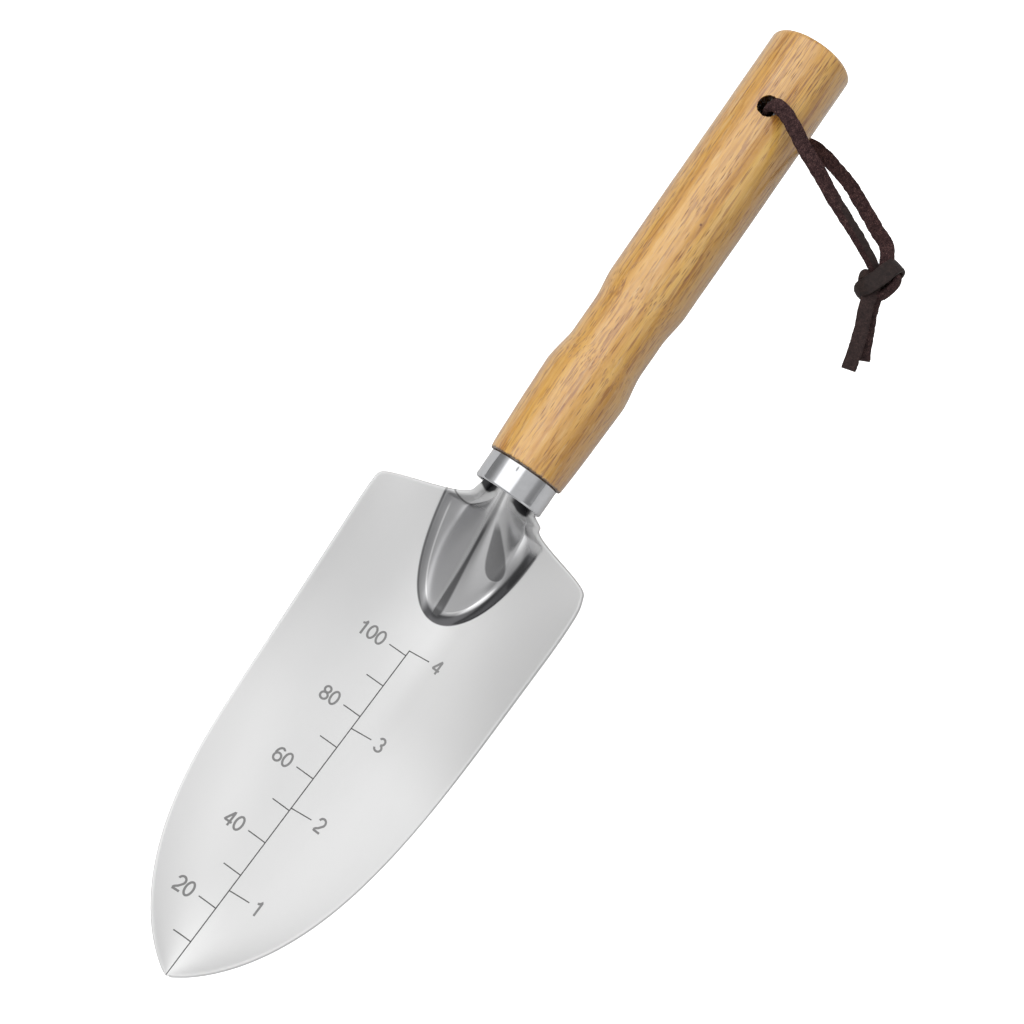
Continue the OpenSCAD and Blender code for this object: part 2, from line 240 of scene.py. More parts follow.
    # painted shade: a dark line along the inner lip on the left, where the flare from the ferrule mouth meets the
    # hollow
    lip_b = m.math("SUBTRACT", m.math("MULTIPLY_ADD", ay, 0.55, 3.3), m.math("MULTIPLY", m.math("POWER", m.math("MAXIMUM", m.math("SUBTRACT", ay, 7.0), 0.0), 2.0), 0.10))
    lip = mul(step(m.math("ABSOLUTE", m.math("SUBTRACT", b_, lip_b)), 0.42, 0.05), step(y_, -3.5, -6.5), step(ay, 13.6, 12.6))
    # shade gathers the painted dark reflections and painted shade; it darkens the base colour last
    shade = m.math("MAXIMUM", m.math("MULTIPLY", band_, m.math("MULTIPLY_ADD", step(b_, 12.0, 25.0), 0.21, 0.72)), m.math("MULTIPLY", linel, 0.62))
    shade = m.math("MAXIMUM", shade, m.math("MULTIPLY", crest, 0.80))
    shade = m.math("MAXIMUM", shade, m.math("MULTIPLY", lobe, 0.66))
    shade = m.math("MAXIMUM", shade, m.math("MULTIPLY", lip, 0.70))
    shade = m.math("MAXIMUM", shade, gap)
    # painted reflection: darker grey in the left lobe
    base = m.mixc(m.math("MULTIPLY", left_, 0.50), base, lin(158, 158, 160))
    # painted reflection: a darker grey strip on the right side of the hollow
    flank = mul(step(dd, 6.6, 4.6), step(dd, 1.5, 2.8), right, step(b_, 11.0, 17.0), step(b_, 26.0, 21.5))
    base = m.mixc(m.math("MULTIPLY", flank, 0.55), base, lin(128, 128, 130))
    # painted highlight on the top of the rib at the ferrule mouth
    ribtop = mul(step(b_, 6.5, 3.0), step(ay, 2.4, 0.8), at.outputs["Fac"])
    light = m.math("MAXIMUM", light, ribtop)
    base = m.mixc(m.math("MULTIPLY", light, 0.60), base, lin(250, 250, 250))
    base = m.mixc(shade, base, lin(66, 66, 68))
    m.link(base, m.b.inputs["Base Color"])
    r0 = m.math("MULTIPLY_ADD", streak, 0.07, 0.43)
    r0 = m.math("ADD", r0, m.math("MULTIPLY", blotch, 0.05))
    rough = m.n("ShaderNodeMix", data_type="FLOAT")
    m.link(at.outputs["Fac"], rough.inputs[0]); m.link(r0, rough.inputs[2]); m.link(m.math("MULTIPLY_ADD", left_, 0.17, 0.24), rough.inputs[3])
    m.link(rough.outputs[0], m.b.inputs["Roughness"])
    nrm = m.bump(fine, 0.05, 0.00006)
    nrm = m.bump(streak, 0.05, 0.0002, nrm)
    m.link(nrm, m.b.inputs["Normal"])
    return m.m
STEEL_LO, STEEL_HI = (219, 219, 219), (227, 227, 227)
POL_LO, POL_HI = (200, 200, 201), (208, 208, 209)

def etch_material(name, lo, hi):
    m = Mat(name)
    s = m.noise(m.coords((900, 900, 900)), 1.0, 3, 0.6)
    t = m.noise(m.coords((4000, 4000, 4000)), 1.0, 2, 0.6)
    c = m.mixc(s, lin(lo, lo, lo), lin(hi, hi, hi))
    m.link(m.mixc(m.math("MULTIPLY", t, 0.3), c, lin(hi + 25, hi + 25, hi + 25)), m.b.inputs["Base Color"])
    m.set("Metallic", 0.0); m.set("Roughness", 0.75); m.set("Specular IOR Level", 0.15)
    return m.m

def chrome_material():
    m = Mat("ferrule_chrome")
    m.set("Metallic", 1.0)
    ring = m.noise(m.coords((2500, 60, 60)), 1.0, 3, 0.6)
    spot = m.noise(m.coords((500, 500, 500)), 1.0, 3, 0.6)
    line = m.noise(m.coords((60, 900, 900)), 1.0, 3, 0.6)
    m.link(m.mixc(spot, lin(206, 207, 209), lin(222, 223, 226)), m.b.inputs["Base Color"])
    m.link(m.math("MULTIPLY_ADD", ring, 0.08, 0.06), m.b.inputs["Roughness"])
    n1 = m.bump(ring, 0.05, 0.00006)
    n1 = m.bump(line, 0.05, 0.0001, n1)
    m.link(m.bump(spot, 0.06, 0.0001, n1), m.b.inputs["Normal"])
    return m.m

def wood_material():
    m = Mat("lacquered_hardwood")
    big = m.noise(m.coords((7, 110, 110), (0.3, 0.1, 0.7)), 1.0, 3, 0.5, 0.5)
    band = m.noise(m.coords((12, 330, 330), (1.3, 0.6, 0.2)), 1.0, 4, 0.6, 0.25)
    streak = m.noise(m.coords((26, 1100, 1100), (2.3, 0.1, 0.5)), 1.0, 4, 0.62, 0.1)
    fine = m.noise(m.coords((90, 3600, 3600)), 1.0, 3, 0.6)
    mottle = m.noise(m.coords((260, 900, 900), (7, 3, 1)), 1.0, 3, 0.6)
    c = m.ramp(big, [(0.32, lin(*WOOD_A)), (0.50, lin(*WOOD_B)), (0.68, lin(*WOOD_C))])
    c2 = m.ramp(band, [(0.34, lin(*WOOD_D)), (0.46, lin(*WOOD_A)), (0.58, lin(*WOOD_B)), (0.72, lin(*WOOD_C))])
    c = m.mixc(0.55, c, c2)
    thin = m.ramp(streak, [(0.52, (0, 0, 0)), (0.66, (1, 1, 1))])
    c = m.mixc(m.math("MULTIPLY", thin, 0.42), c, lin(168, 108, 50))
    pale = m.ramp(streak, [(0.30, (1, 1, 1)), (0.42, (0, 0, 0))])
    c = m.mixc(m.math("MULTIPLY", pale, 0.30), c, lin(232, 190, 136))
    line = m.noise(m.coords((40, 1700, 1700), (4, 8, 3)), 1.0, 3, 0.6, 0.05)
    where = m.ramp(m.noise(m.coords((26, 150, 150), (6, 2, 9)), 1.0, 2, 0.5), [(0.42, (0, 0, 0)), (0.56, (1, 1, 1))])
    ln = m.math("MULTIPLY", m.ramp(line, [(0.54, (0, 0, 0)), (0.60, (1, 1, 1))]), where)
    c = m.mixc(m.math("MULTIPLY", ln, 0.70), c, lin(150, 88, 30))
    ln2 = m.ramp(m.noise(m.coords((110, 1500, 1500), (2, 5, 8)), 1.0, 2, 0.5), [(0.59, (0, 0, 0)), (0.64, (1, 1, 1))])
    c = m.mixc(m.math("MULTIPLY", ln2, 0.60), c, lin(142, 80, 28))
    lt = m.ramp(m.noise(m.coords((120, 1300, 1300), (9, 4, 6)), 1.0, 2, 0.5), [(0.60, (0, 0, 0)), (0.68, (1, 1, 1))])
    c = m.mixc(m.math("MULTIPLY", lt, 0.40), c, lin(234, 196, 132))
    c = m.mixc(m.math("MULTIPLY", m.ramp(fine, [(0.40, (0, 0, 0)), (0.75, (1, 1, 1))]), 0.22), c, lin(160, 106, 52))
    c = m.mixc(m.math("MULTIPLY", m.ramp(mottle, [(0.42, (1, 1, 1)), (0.60, (0, 0, 0))]), 0.10), c, lin(240, 205, 160))
    # short dark pores, in clumps
    def pores(scale, loc, lo, hi, nscale, nlo, nhi):
        pv = m.n("ShaderNodeTexVoronoi", feature="F1")
        pv.inputs["Scale"].default_value = 1.0
        m.link(m.coords(scale, loc), pv.inputs["Vector"])
        pr = m.ramp(pv.outputs["Distance"], [(lo, (1, 1, 1)), (hi, (0, 0, 0))])
        cl = m.ramp(m.noise(m.coords(nscale, loc), 1.0, 3, 0.5), [(nlo, (0, 0, 0)), (nhi, (1, 1, 1))])
        return m.math("MULTIPLY", pr, cl)
    pore = pores((190, 2100, 2100), (3, 1, 2), 0.14, 0.30, (34, 200, 200), 0.45, 0.54)
    pore2 = pores((120, 1700, 1700), (8, 5, 7), 0.09, 0.22, (18, 150, 150), 0.46, 0.56)
    allp = m.math("MAXIMUM", pore, pore2)
    c = m.mixc(m.math("MULTIPLY", allp, 0.82), c, lin(120, 64, 20))
    # a few dark specks
    sv = m.n("ShaderNodeTexVoronoi", feature="F1")
    sv.inputs["Scale"].default_value = 1.0
    m.link(m.coords((95, 120, 120), (0.37, 0.21, 0.43)), sv.inputs["Vector"])
    sp = m.ramp(sv.outputs["Distance"], [(0.030, (1, 1, 1)), (0.052, (0, 0, 0))])
    sepc = m.n("ShaderNodeSeparateColor"); m.link(sv.outputs["Color"], sepc.inputs[0])
    sp = m.math("MULTIPLY", sp, m.math("GREATER_THAN", sepc.outputs[0], 0.30))
    c = m.mixc(m.math("MULTIPLY", sp, 0.85), c, lin(88, 40, 18))
    # painted shade: a ragged dark line on the turned shoulder, in the gap at the ferrule; the wood inside the hole is
    # dark brown
    tc = m.n("ShaderNodeTexCoord"); sx = m.n("ShaderNodeSeparateXYZ"); m.link(tc.outputs["Object"], sx.inputs[0])
    rag = m.noise(m.coords((300, 1500, 1500)), 1.0, 3, 0.6)
    edge = m.math("MULTIPLY_ADD", rag, 0.0009, sx.outputs[0])
    mr = m.n("ShaderNodeMapRange", interpolation_type="SMOOTHSTEP")
    m.link(edge, mr.inputs[0]); mr.inputs[1].default_value = 0.13290; mr.inputs[2].default_value = 0.13335
    c = m.mixc(m.math("MULTIPLY", mr.outputs[0], 0.85), c, lin(52, 34, 18))
    at = m.n("ShaderNodeAttribute", attribute_name="hole_dark")
    c = m.mixc(at.outputs["Fac"], c, lin(74, 44, 22))
    # painted shade: the wood turns browner towards its +Y side, the side away from the light
    gn = m.n("ShaderNodeNewGeometry"); gs = m.n("ShaderNodeSeparateXYZ"); m.link(gn.outputs["Normal"], gs.inputs[0])
    sh = m.n("ShaderNodeMapRange", interpolation_type="SMOOTHSTEP")
    m.link(gs.outputs[1], sh.inputs[0]); sh.inputs[1].default_value = 0.45; sh.inputs[2].default_value = 0.95
    c = m.mixc(m.math("MULTIPLY", sh.outputs[0], 0.32), c, lin(120, 70, 24))
    m.link(c, m.b.inputs["Base Color"])
    m.set("Roughness", 0.42)
    m.set("Specular IOR Level", 0.35)
    m.set("Coat Weight", 1.0); m.set("Coat Roughness", 0.17); m.set("Coat IOR", 1.80)
    h = m.math("ADD", m.math("MULTIPLY", band, 0.6), m.math("MULTIPLY", streak, 0.5))
    nrm = m.bump(h, 0.25, 0.00012)
    nrm = m.bump(m.math("SUBTRACT", 1.0, allp), 0.35, 0.00012, nrm)
    m.link(nrm, m.b.inputs["Normal"])
    wav = m.bump(m.noise(m.coords((60, 220, 220)), 1.0, 2, 0.5), 0.18, 0.0002)
    wav = m.bump(m.noise(m.coords((50, 1400, 1400)), 1.0, 3, 0.6), 0.22, 0.00008, wav)
    wav = m.bump(m.math("SUBTRACT", 1.0, allp), 0.30, 0.0001, wav)
    m.link(wav, m.b.inputs["Coat Normal"])
    return m.m
WOOD_A, WOOD_B, WOOD_C, WOOD_D = (209, 149, 58), (226, 174, 79), (238, 196, 107), (180, 117, 38)

def resin_material():
    m = Mat("cured_resin")
    m.link(m.mixc(m.noise(m.coords((300, 300, 300)), 1.0, 3), lin(196, 178, 120), lin(170, 150, 96)), m.b.inputs["Base Color"])
    m.link(m.math("MULTIPLY_ADD", m.noise(m.coords((900, 900, 900)), 1.0, 2), 0.2, 0.3), m.b.inputs["Roughness"])
    return m.m

def leather_material():
    m = Mat("suede_lace")
    at = m.n("ShaderNodeAttribute", attribute_name="grain")   # 0 suede side, 1 smooth side
    n1 = m.noise(m.coords((900, 900, 900)), 1.0, 5, 0.7)
    n2 = m.noise(m.coords((3600, 3600, 3600)), 1.0, 4, 0.75)
    n3 = m.noise(m.coords((260, 260, 260), (3, 1, 4)), 1.0, 3, 0.6)
    v = m.math("MULTIPLY_ADD", n2, 0.62, m.math("MULTIPLY", n1, 0.38))
    suede = m.ramp(v, [(0.36, lin(26, 18, 19)), (0.50, lin(60, 43, 44)), (0.60, lin(94, 70, 68)), (0.68, lin(128, 100, 95))])
    suede = m.mixc(m.math("MULTIPLY", m.ramp(n3, [(0.45, (0, 0, 0)), (0.70, (1, 1, 1))]), 0.35), suede, lin(38, 27, 29))
    smooth = m.ramp(n1, [(0.35, lin(33, 25, 24)), (0.65, lin(50, 39, 37))])
    crack = m.ramp(m.noise(m.coords((420, 420, 420), (1, 7, 2)), 1.0, 5, 0.7, 0.6), [(0.47, (0, 0, 0)), (0.50, (1, 1, 1)), (0.53, (0, 0, 0))])
    smooth = m.mixc(m.math("MULTIPLY", crack, 0.25), smooth, lin(72, 56, 52))
    c = m.mixc(at.outputs["Fac"], suede, smooth)
    m.link(c, m.b.inputs["Base Color"])
    rough = m.n("ShaderNodeMix", data_type="FLOAT")
    m.link(at.outputs["Fac"], rough.inputs[0]); rough.inputs[2].default_value = 0.95; rough.inputs[3].default_value = 0.52
    m.link(rough.outputs[0], m.b.inputs["Roughness"])
    m.link(m.math("MULTIPLY_ADD", at.outputs["Fac"], 0.16, 0.08), m.b.inputs["Specular IOR Level"])
    m.link(m.math("MULTIPLY_ADD", at.outputs["Fac"], -0.10, 0.12), m.b.inputs["Sheen Weight"])
    m.set("Sheen Roughness", 0.5)
    m.b.inputs["Sheen Tint"].default_value = (*lin(150, 116, 112), 1)
    h = m.math("ADD", m.math("MULTIPLY", n2, 0.6), m.math("MULTIPLY", n1, 0.6))
    m.link(m.bump(h, 0.6, 0.0003), m.b.inputs["Normal"])
    return m.m

STEEL = steel_material("satin_stainless")
ETCH = etch_material("etched_scale_lines", 78, 96)
ETCH2 = etch_material("etched_scale_numbers", 124, 142)
CHROME = chrome_material()
WOOD = wood_material()
RESIN = resin_material()
LEATHER = leather_material()

# ------------------------------------------------------------------ blade surface (mm, same rules as the CAD)
MOUTH = 140.4; REACH = 148.0; SLOPE = math.radians(12.38); TIPZ = 9.27; SHEET = 1.2
HOLLOW = 38.9; HW = 15.3; VD = 3.1; RIBZ = 7.2; LIFT = 24.0; TANG = 66.0
def from_tip(b): return np.maximum(0.02, (REACH - b) / math.cos(SLOPE))
def leaf_hw(b):
    s = from_tip(b)
    return 29.27 * (1 - np.maximum(0, 1 - s / 157.8) ** 6.13) ** 0.874 + 0.0239 * s
def rear_hw(b, s):
    return np.where(s > 0, 8.7 + 3.2 * ss((b - 0.8) / 2.4) + 20.5 * ss((b - 3.6) / 7.6) + 0.12 * np.maximum(0, b - 10),
                    7.2 + 0.42 * b + 20 * ss((b - 4) / 11.5))
def side_hw(b, s): return leaf_hw(b) + np.where(s > 0, 0.5 * np.exp(-((b - 20) / 16) ** 2), 0)
def tang_w(b, s):
    return np.where(b > -3, mix(4.6, np.where(s > 0, 8.7, 7.2), ss((b + 3) / 3)), np.where(b > 8 - TANG, 4.6, mix(1.5, 4.6, (b + TANG) / 8)))
def half_w(b, s=1.0):
    return np.where(b <= 0, tang_w(b, s), smin(rear_hw(b, s), side_hw(b, s), np.where(b < 0.01, 0, np.where(s > 0, 1.2 + 2.2 * np.exp(-((b - 10) / 3) ** 2), 2.3) * ss(b / 8))))
def lift(b): return LIFT * (np.maximum(0, 47 - b) / 47) ** 2
def mid_z(b): return TIPZ - math.tan(SLOPE) * (REACH - b) + lift(b)
def edge_rise(b):
    s = from_tip(b)
    return 4.9 * (1 - np.exp(-s / 7)) + 13.8 * (np.maximum(0, s - 62) / 68) ** 1.7
def sheet_z(b, y): return mid_z(b) + (edge_rise(b) - lift(b)) * (y / np.maximum(1, leaf_hw(b))) ** 2
def hollow_w(b, s=1.0):
    f = np.clip(b / HOLLOW, 0, 1)
    return smin(HW * np.sqrt(np.maximum(0.0001, 1 - f ** 2.3)), half_w(b, s) - 1.4, 1.0)
def valley(b):
    f = np.clip(b / HOLLOW, 0, 1)
    return VD * (1 - f ** 2.2) ** 0.8 * mix(1.9, 1, ss(b / 13))
def rib(b):
    f = np.clip(b / HOLLOW, 0, 1)
    return mix(-14.1, RIBZ, (1 - f) ** 1.4)
def rib_k(b): return 0.60 + 2.2 * np.exp(-np.maximum(0, b) / 9)
def sabs(y, r): return np.sqrt(y * y + r * r) - r
def neck_z(b, y):
    q = np.abs(y) / np.maximum(0.3, hollow_w(b, y))
    wall = smax(0, 1 - q ** 5, 0.04)
    floor = sheet_z(b, y) - valley(b) * wall
    r = rib(b) - rib_k(b) * sabs(y, 1.9)
    return np.where(b >= HOLLOW, sheet_z(b, y), mix(sheet_z(b, y), smax(floor, r, 1.8), ss((HOLLOW - b) / 4)))
def tang_z(y): return 3.4 - 1.25 * sabs(y, 1.0)
def blade_z(b, y):
    return np.where(b <= -3, tang_z(y), np.where(b < 0, mix(tang_z(y), neck_z(b, y), ss((b + 3) / 3)), neck_z(b, y)))
def surf(b, y, off=0.0):
    b = np.asarray(b, float); y = np.asarray(y, float)
    e = 0.02
    z = blade_z(b, y)
    zb = (blade_z(b + e, y) - blade_z(b - e, y)) / (2 * e)
    zy = (blade_z(b, y + e) - blade_z(b, y - e)) / (2 * e)
    n = np.stack([-zb, -zy, np.ones_like(z)], -1)
    n /= np.linalg.norm(n, axis=-1, keepdims=True)
    return np.stack([MOUTH + b, y, z], -1) + n * np.asarray(off)[..., None]

def build_blade():
    st = np.concatenate([
        np.linspace(-TANG, -TANG + 8, 4, endpoint=False),
        np.linspace(-TANG + 8, -3, 14, endpoint=False),
        np.linspace(-3, 0, 14, endpoint=False),
        np.linspace(0, 16, 124, endpoint=False),
        np.linspace(16, 42, 140, endpoint=False),
        np.linspace(42, REACH - 12, 110, endpoint=False),
        REACH - 12 + 11.95 * (1 - (1 - np.linspace(0, 1, 46)) ** 1.8)])
    r = 0.30; rt = 0.16; land = 0.48; drop = 0.13       # bottom rounding; top corner rounding; ground land and its fall
    inner = np.linspace(0, 1, 76) ** 1.05; outer = np.linspace(0, 1, 37)[1:]
    q = np.sin(np.linspace(0, math.pi / 2, 6))
    edge_d = np.concatenate([[0.68, 0.53, 0.48, 0.43, 0.32, 0.22], rt * (1 - q)])
    def h_top(d):
        h = SHEET / 2 - drop * np.clip(1 - d / land, 0, 1)
        return h - rt + np.sqrt(np.maximum(0, rt * rt - np.maximum(0, rt - d) ** 2))
    def h_bot(d):
        return SHEET / 2 - r + np.sqrt(np.maximum(0, r * r - np.maximum(0, r - d) ** 2)) 
    rows_top, rows_bot = [], []
    sides = []
    for sd in (-1.0, 1.0):
        hw = half_w(st, sd)
        slant = np.sqrt(1 + np.gradient(hw, st) ** 2)
        rows = []
        for i, b in enumerate(st):
            rim = min(0.75 * slant[i], hw[i] * 0.5)        # width of the edge zone along y
            full = hw[i] - rim
            win = min(full * 0.72, float(smax(1.10 * hollow_w(min(b, HOLLOW - 0.01), sd) if b > 0 else 4.0, 6.0, 1.5)))
            yc = np.concatenate([inner * win, win + (full - win) * outer])
            y = np.concatenate([yc, hw[i] - rim * (edge_d / 0.75)])
            d = np.concatenate([np.full(len(yc), 9.0), edge_d])
            rows.append((y, h_top(d) if b > 0.5 else np.where(d > 5, SHEET / 2, h_bot(d)), h_bot(d)))
        sides.append(rows)
    for i, b in enumerate(st):
        (yl, tl, bl), (yr, tr, br) = sides[0][i], sides[1][i]
        y = np.concatenate([-yl[:0:-1], yr]); ht = np.concatenate([tl[:0:-1], tr]); hb = np.concatenate([bl[:0:-1], br])
        rows_top.append(surf(np.full_like(y, b), y, ht))
        rows_bot.append(surf(np.full_like(y, b), y, -hb))
    top = np.array(rows_top); bot = np.array(rows_bot)
    nb, nc = top.shape[:2]
    verts = np.concatenate([top.reshape(-1, 3), bot.reshape(-1, 3)]) * MM
    o = nb * nc
    faces = []
    for i in range(nb - 1):
        for j in range(nc - 1):
            a = i * nc + j
            faces.append((a, a + nc, a + nc + 1, a + 1))
            faces.append((o + a, o + a + 1, o + a + nc + 1, o + a + nc))
        a = i * nc
        faces.append((a, o + a, o + a + nc, a + nc))
        a = i * nc + nc - 1
        faces.append((a, a + nc, o + a + nc, o + a))
    for j in range(nc - 1):
        faces.append((j, j + 1, o + j + 1, o + j))
        a = (nb - 1) * nc + j
        faces.append((a, o + a, o + a + 1, a + 1))
    ob = new_mesh_object("blade_sheet", verts, faces)
    fix_normals(ob)
    sharpen(ob, 50)
    # where the sheet is mirror bright: the pressed hollow and the neck
    allp = np.concatenate([top.reshape(-1, 3), bot.reshape(-1, 3)])
    b = allp[:, 0] - MOUTH; y = np.abs(allp[:, 1])
    q = y / np.maximum(0.3, hollow_w(np.clip(b, 0, HOLLOW - 0.01), allp[:, 1]))
    pol = np.where(b < HOLLOW, ss((1.04 - q) / 0.06), 0)
    # the flare from the ferrule mouth to the inner lip stays satin
    lip = np.where(allp[:, 1] < 0, np.interp(y, [1.5, 3.0, 5.5, 8.7, 12.3], [3.0, 4.6, 6.3, 8.1, 8.0]), np.interp(y, [1.5, 7.5, 10.5, 13.5], [4.0, 4.5, 8.0, 10.0]))
    flare = ss((lip - b) / np.where(allp[:, 1] < 0, 0.5, 3.0)) * ss((y - 1.2) / 1.5)
    pol = np.where(b < 0, 1, pol * (1 - 0.85 * flare))
    at = ob.data.attributes.new("polish", "FLOAT", "POINT")
    at.data.foreach_set("value", pol.astype(np.float32))
    return ob

blade = build_blade()
set_material(blade, STEEL)
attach(blade, "trowel"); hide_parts("blade")

# ------------------------------------------------------------------ etched scale: hair-thin ribbons on the surface
GLYPH = {}
def arc(cx, cy, rx, ry, a0, a1, n=14):
    return [(cx + rx * math.cos(math.radians(a0 + (a1 - a0) * i / n)), cy + ry * math.sin(math.radians(a0 + (a1 - a0) * i / n))) for i in range(n + 1)]
GLYPH["0"] = [arc(0.30, 0.5, 0.235, 0.43, 90, 450, 28)]
GLYPH["1"] = [[(0.10, 0.70), (0.22, 0.74), (0.31, 0.84), (0.345, 0.93), (0.345, 0.0)]]
GLYPH["2"] = [arc(0.30, 0.68, 0.225, 0.25, 172, -35, 16) + [(0.30, 0.30), (0.15, 0.19), (0.075, 0.07)], [(0.055, 0.055), (0.545, 0.055)]]
GLYPH["3"] = [arc(0.295, 0.715, 0.20, 0.215, 160, -88, 16), arc(0.29, 0.27, 0.235, 0.225, 82, -165, 18)]
GLYPH["4"] = [[(0.41, 0.0), (0.41, 0.93), (0.055, 0.27), (0.56, 0.27)]]
GLYPH["6"] = [arc(0.305, 0.31, 0.235, 0.255, 0, 360, 24), arc(0.36, 0.46, 0.29, 0.47, 178, 105, 10) + arc(0.33, 0.72, 0.19, 0.21, 88, 30, 8)]
GLYPH["8"] = [arc(0.30, 0.715, 0.195, 0.205, 0, 360, 24), arc(0.30, 0.27, 0.235, 0.225, 0, 360, 24)]

def resample(path, step):
    p = np.array(path, float)
    d = np.concatenate([[0], np.cumsum(np.linalg.norm(np.diff(p, axis=0), axis=1))])
    n = max(2, int(math.ceil(d[-1] / step)) + 1)
    t = np.linspace(0, d[-1], n)
    return np.stack([np.interp(t, d, p[:, 0]), np.interp(t, d, p[:, 1])], -1)

def ribbon_path(path, width, verts, faces, step=0.35, closed=False):
    """path in (distance from tip along the sheet, y), mm. A thin closed strip that follows the blade."""
    p = np.array(path, float)
    q = p if len(p) > 8 else resample(p, step)
    n = len(q)
    t = np.zeros_like(q)
    t[1:-1] = q[2:] - q[:-2]; t[0] = q[1] - q[0]; t[-1] = q[-1] - q[-2]
    if closed: t[0] = t[-1] = q[1] - q[-2]
    t /= np.maximum(1e-9, np.linalg.norm(t, axis=1, keepdims=True))
    nrm = np.stack([-t[:, 1], t[:, 0]], -1)
    lo = SHEET / 2 - 0.02; hi = SHEET / 2 + 0.015
    base = len(verts)
    for k in range(n):
        for off, h in ((width / 2, lo), (width / 2, hi), (-width / 2, hi), (-width / 2, lo)):
            s, y = q[k] + nrm[k] * off
            verts.append(surf(REACH - s * math.cos(SLOPE), y, h) * MM)
    for k in range(n - 1):
        a = base + 4 * k
        for c in range(4):
            d = (c + 1) % 4
            faces.append((a + c, a + d, a + 4 + d, a + 4 + c))
    faces.append((base, base + 1, base + 2, base + 3))
    e = base + 4 * (n - 1)
    faces.append((e + 3, e + 2, e + 1, e))

def text_on_blade(txt, s0, y0, size, verts, faces, w):
    """tops towards the handle, reading towards +Y; s0, y0 is the middle of the text"""
    adv = {"1": 0.58}
    widths = [adv.get(ch, 0.63) for ch in txt]
    x = -sum(widths) / 2
    for ch, wd in zip(txt, widths):
        for stroke in GLYPH[ch]:
            pts = [(s0 + (py - 0.48) * size, y0 + (x + px + (wd - 0.60) / 2) * size) for px, py in stroke]
            ribbon_path(pts, w, verts, faces, 0.25, closed=(np.allclose(pts[0], pts[-1])))
        x += wd

def build_scale():
    verts, faces = [], []
    line = 0.30
    ribbon_path([(0.25, 0), (101.6 + line / 2, 0)], line, verts, faces, 0.8)
    for mm in range(10, 101, 10):
        ribbon_path([(mm, -0.13), (mm, -5.45)], line, verts, faces, 0.5)
    for inch in range(1, 5):
        ribbon_path([(25.4 * inch, 0.13), (25.4 * inch + 0.65, 6.15)], line, verts, faces, 0.5)
    ob = new_mesh_object("depth_scale_lines", verts, faces, smooth=False)
    v2, f2 = [], []
    for mm in (20, 40, 60, 80, 100):
        text_on_blade(str(mm), mm + 0.0, -9.75 if mm < 100 else -10.85, 4.25, v2, f2, 0.60)
    for inch in range(1, 5):
        text_on_blade(str(inch), 25.4 * inch + 0.85, 8.9, 4.2, v2, f2, 0.60)
    ob2 = new_mesh_object("depth_scale_numbers", v2, f2, smooth=False)
    return ob, ob2
lines, numbers = build_scale()
for o, mt in ((lines, ETCH), (numbers, ETCH2)):
    fix_normals(o)
    set_material(o, mt)
    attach(o, "trowel")

# ------------------------------------------------------------------ lathe helper
def lathe(name, prof, n=256, axis_x=True, close=True):
    """prof: list of (x, r) going round; r == 0 allowed at the ends."""
    verts, faces = [], []
    rings = []
    for x, r in prof:
        if r < 1e-6:
            rings.append([len(verts)]); verts.append((x * MM, 0, 0))
        else:
            rings.append(list(range(len(verts), len(verts) + n)))
            for k in range(n):
                a = 2 * math.pi * k / n
                verts.append((x * MM, r * math.cos(a) * MM, r * math.sin(a) * MM))
    m = len(rings)
    pairs = [(i, i + 1) for i in range(m - 1)] + ([(m - 1, 0)] if close else [])
    for i, j in pairs:
        A, B = rings[i], rings[j]
        if len(A) == 1 and len(B) == 1: continue
        for k in range(n):
            l = (k + 1) % n
            if len(A) == 1: faces.append((A[0], B[l], B[k]))
            elif len(B) == 1: faces.append((A[k], A[l], B[0]))
            else: faces.append((A[k], A[l], B[l], B[k]))
    ob = new_mesh_object(name, verts, faces)
    fix_normals(ob)
    return ob

# ------------------------------------------------------------------ ferrule
def build_ferrule():
    ro, ri, x0, x1 = 10.0, 9.2, 133.1, 141.2
    prof = [(x0 + 0.14, ri)]
    prof += [(x, ri) for x in np.linspace(x0 + 1, x1 - 0.5, 8)]
    prof += [(x1 - 0.30 + 0.30 * math.sin(a), 9.5 - 0.30 * math.cos(a)) for a in np.linspace(0, math.pi / 2, 6)]
    prof += [(x1 - 0.80 + 0.80 * math.cos(a), 9.5 + 0.50 * math.sin(a)) for a in np.linspace(0.12, math.pi / 2, 12)]
    # slight roll just behind the rim, then the plain wall, tucked in at the wood
    prof += [(x1 - d, ro - 0.05 * math.exp(-((d - 1.5) / 0.4) ** 2)) for d in np.linspace(0.9, 7.7, 40)]
    prof += [(x0 + 0.30, ro - 0.02), (x0 + 0.14, ro - 0.10)]
    ob = lathe("ferrule_tube", prof, 320)
    me = ob.data
    co = np.array([v.co for v in me.vertices]) / MM
    r = np.hypot(co[:, 1], co[:, 2]); outer = r > 9.7
    ang = np.arctan2(co[:, 2], co[:, 1])
    d = 0.025 * noise3(np.stack([co[:, 0] * 0.35, np.cos(ang) * 2.2 + 5, np.sin(ang) * 2.2 + 5], -1), 3)
    # a small stake mark close to the wood, on the upper side
    mark = np.exp(-(((co[:, 0] - 134.6) / 0.8) ** 2 + ((co[:, 1] - 0.3) / 0.35) ** 2)) * (co[:, 2] > 0) * 0.22
    s = 1 + np.where(outer, (d - mark) / r, 0)
    co[:, 1] *= s; co[:, 2] *= s
    me.vertices.foreach_set("co", (co * MM).ravel())
    sharpen(ob, 60)
    return ob
ferrule = build_ferrule()
set_material(ferrule, CHROME)
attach(ferrule, "trowel"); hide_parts("ferrule")

